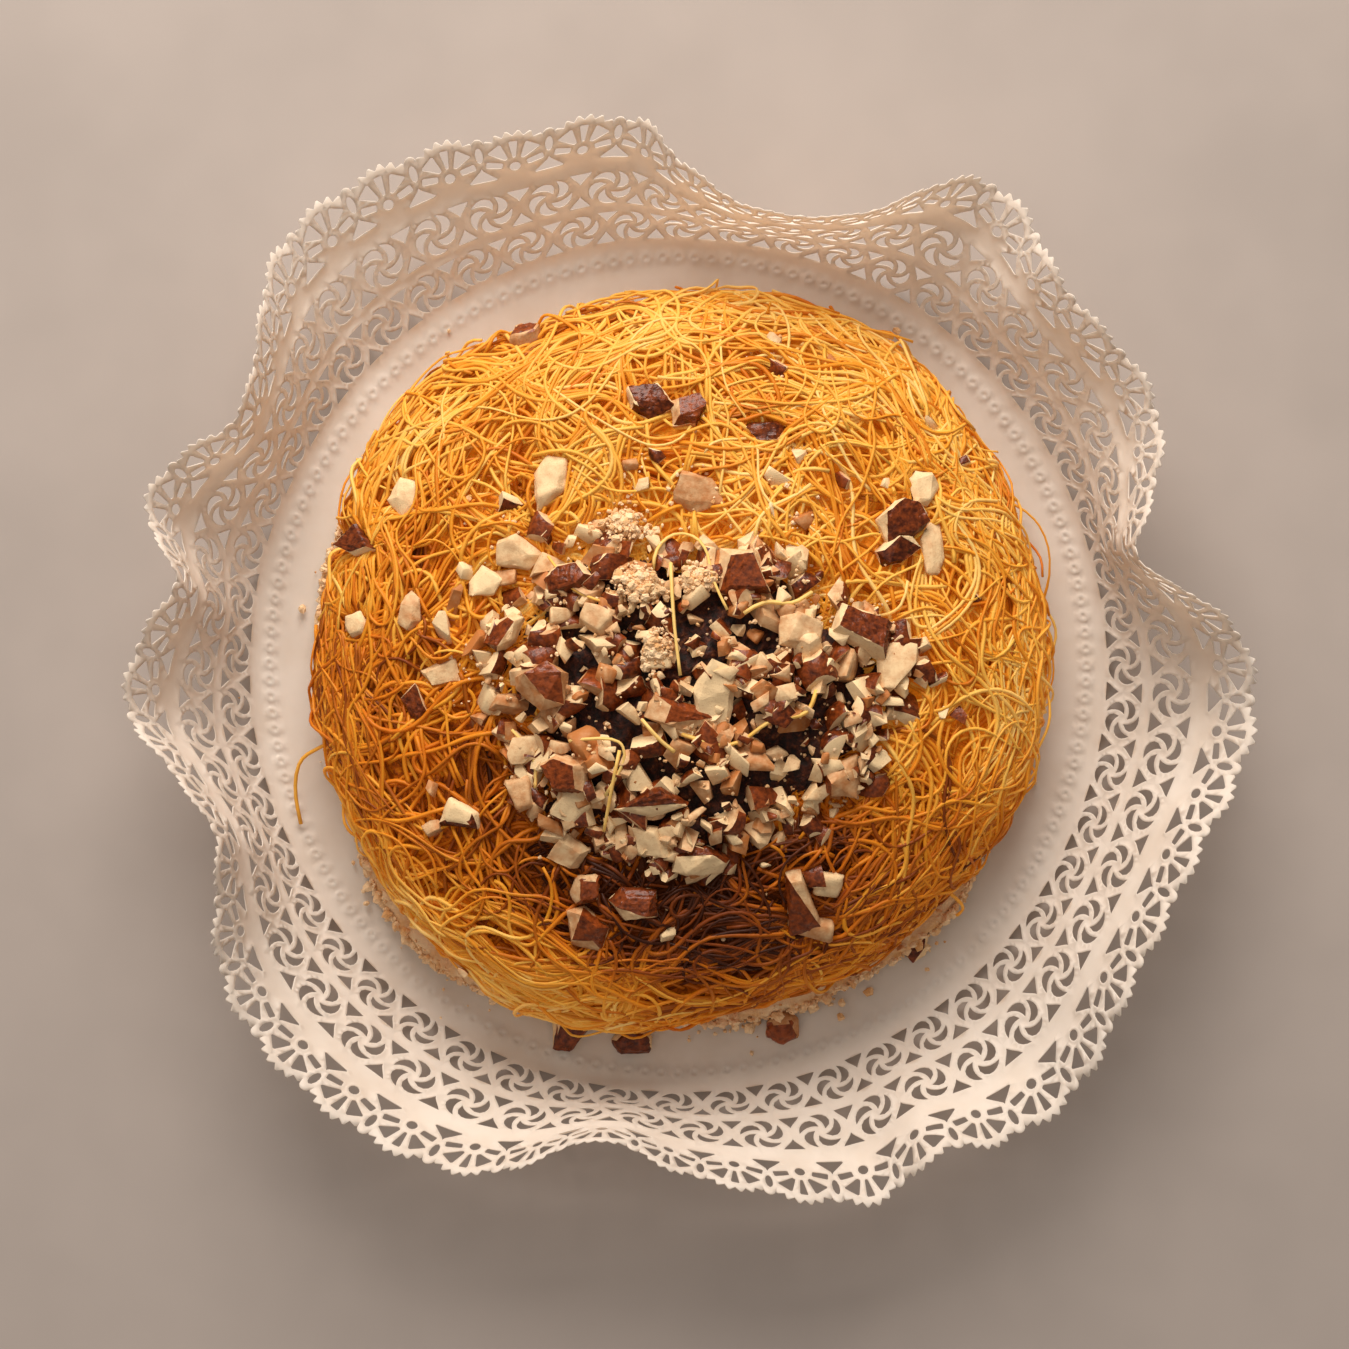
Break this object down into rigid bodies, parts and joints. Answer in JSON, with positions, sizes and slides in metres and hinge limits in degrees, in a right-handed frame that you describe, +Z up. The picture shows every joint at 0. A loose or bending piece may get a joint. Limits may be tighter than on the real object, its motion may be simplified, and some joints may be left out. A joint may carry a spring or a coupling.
{
  "type": "tagliatelle cake",
  "caption": "Round tagliatelle cake: a low dome of baked angel-hair strands on ground almond, heaped with chopped almonds, in a ruffled lace paper.",
  "frame": {"origin": "centre of the lace paper's flat underside, on the surface it stands on", "axes": "+Z up, +X to the right and +Y away from the viewer as the cake is seen from above"},
  "size_m": [0.3188, 0.3061, 0.0583],
  "materials": {
    "lace_paper": "cream-white embossed lace paper, matt, die-cut, slightly see-through",
    "ground_almond": "pale golden ground almond and sugar crumb, rough and dry",
    "baked_pasta": "thin egg pasta strands baked golden yellow to toasted orange, lightly glazed",
    "almond_flesh": "cut almond, ivory white with tan toasted edges",
    "almond_skin": "almond with its brown wrinkled skin on one side and pale cut faces"
  },
  "bodies": {
    "root": {"almond_brown_01": "almond_skin", "almond_brown_02": "almond_skin", "almond_brown_03": "almond_skin", "almond_brown_04": "almond_skin", "almond_brown_05": "almond_skin", "almond_brown_06": "almond_skin", "almond_brown_07": "almond_skin", "almond_brown_08": "almond_skin", "almond_brown_09": "almond_skin", "almond_brown_10": "almond_skin", "almond_brown_11": "almond_skin", "almond_brown_12": "almond_skin", "almond_brown_13": "almond_skin", "almond_brown_14": "almond_skin", "almond_brown_15": "almond_skin", "almond_brown_16": "almond_skin", "almond_brown_17": "almond_skin", "almond_brown_18": "almond_skin", "almond_brown_19": "almond_skin", "almond_brown_20": "almond_skin", "almond_brown_21": "almond_skin", "almond_brown_22": "almond_skin", "almond_fallen_01": "almond_skin", "almond_fallen_02": "almond_skin", "almond_fallen_03": "almond_skin", "almond_fallen_04": "almond_skin", "almond_heap": "almond_flesh", "almond_pale_01": "almond_flesh", "almond_pale_02": "almond_flesh", "almond_pale_03": "almond_flesh", "almond_pale_04": "almond_flesh", "almond_pale_05": "almond_flesh", "almond_pale_06": "almond_flesh", "almond_pale_07": "almond_flesh", "almond_pale_08": "almond_flesh", "almond_pale_09": "almond_flesh", "almond_pale_10": "almond_flesh", "almond_pale_11": "almond_flesh", "almond_pale_12": "almond_flesh", "almond_pale_13": "almond_flesh", "almond_pale_14": "almond_flesh", "almond_pale_15": "almond_flesh", "almond_pale_16": "almond_flesh", "almond_pale_17": "almond_flesh", "almond_pale_18": "almond_flesh", "almond_pale_19": "almond_flesh", "almond_pale_20": "almond_flesh", "almond_pale_21": "almond_flesh", "crumb_base": "ground_almond", "crumb_lump_01": "ground_almond", "crumb_lump_02": "ground_almond", "crumb_lump_03": "ground_almond", "crumb_lump_04": "ground_almond", "lace_paper": "lace_paper", "noodle_nest": "baked_pasta"}
  },
  "joints": []
}
